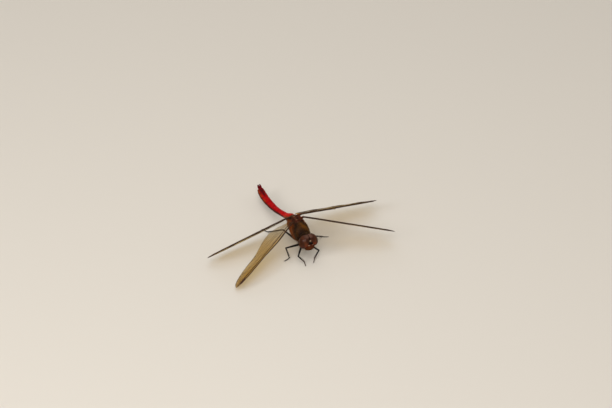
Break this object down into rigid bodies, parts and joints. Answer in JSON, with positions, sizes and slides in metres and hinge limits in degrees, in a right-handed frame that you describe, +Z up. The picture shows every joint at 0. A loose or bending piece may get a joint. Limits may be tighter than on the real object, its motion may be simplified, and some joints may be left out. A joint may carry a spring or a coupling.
{
  "type": "common darter dragonfly, still model",
  "caption": "Life-size still model of a red male darter dragonfly standing on its feet, with clear amber wings spread forward and down.",
  "frame": {"origin": "on the floor, under the middle of the overall box", "axes": "+Z up, +X towards the insect's own left wings, -Y the way it faces"},
  "size_m": [0.0604, 0.0422, 0.0112],
  "materials": {
    "abdomen": "waxy scarlet cuticle with fine pores, darker seams and dark flank marks",
    "thorax": "brown cuticle under fine pale hair, with black seams and paler flanks",
    "eyes": "smooth faceted eye, red-brown above and paler olive-brown below",
    "face": "satin red-brown face plates with a black band at the brow",
    "legs": "satin black cuticle with a thin yellow-brown line and black bristles",
    "wings": "clear crinkled membrane with an amber tint and brown veins"
  },
  "bodies": {
    "root": {"abdomen_1": "abdomen", "abdomen_10": "abdomen", "abdomen_2": "abdomen", "abdomen_3": "abdomen", "abdomen_4": "abdomen", "abdomen_5": "abdomen", "abdomen_6": "abdomen", "abdomen_7": "abdomen", "abdomen_8": "abdomen", "abdomen_9": "abdomen", "antenna_left": "legs", "antenna_right": "legs", "cercus_left": "abdomen", "cercus_right": "abdomen", "clypeus": "face", "epiproct": "abdomen", "eye_left": "eyes", "eye_right": "eyes", "fore_wing_left": "wings", "fore_wing_right": "wings", "frons": "face", "front_left_coxa": "legs", "front_left_femur": "legs", "front_left_tarsus": "legs", "front_left_tibia": "legs", "front_right_coxa": "legs", "front_right_femur": "legs", "front_right_tarsus": "legs", "front_right_tibia": "legs", "head": "face", "hind_left_coxa": "legs", "hind_left_femur": "legs", "hind_left_tarsus": "legs", "hind_left_tibia": "legs", "hind_right_coxa": "legs", "hind_right_femur": "legs", "hind_right_tarsus": "legs", "hind_right_tibia": "legs", "hind_wing_left": "wings", "hind_wing_right": "wings", "labium": "face", "labrum": "face", "middle_left_coxa": "legs", "middle_left_femur": "legs", "middle_left_tarsus": "legs", "middle_left_tibia": "legs", "middle_right_coxa": "legs", "middle_right_femur": "legs", "middle_right_tarsus": "legs", "middle_right_tibia": "legs", "prothorax": "thorax", "thorax": "thorax"}
  },
  "joints": []
}
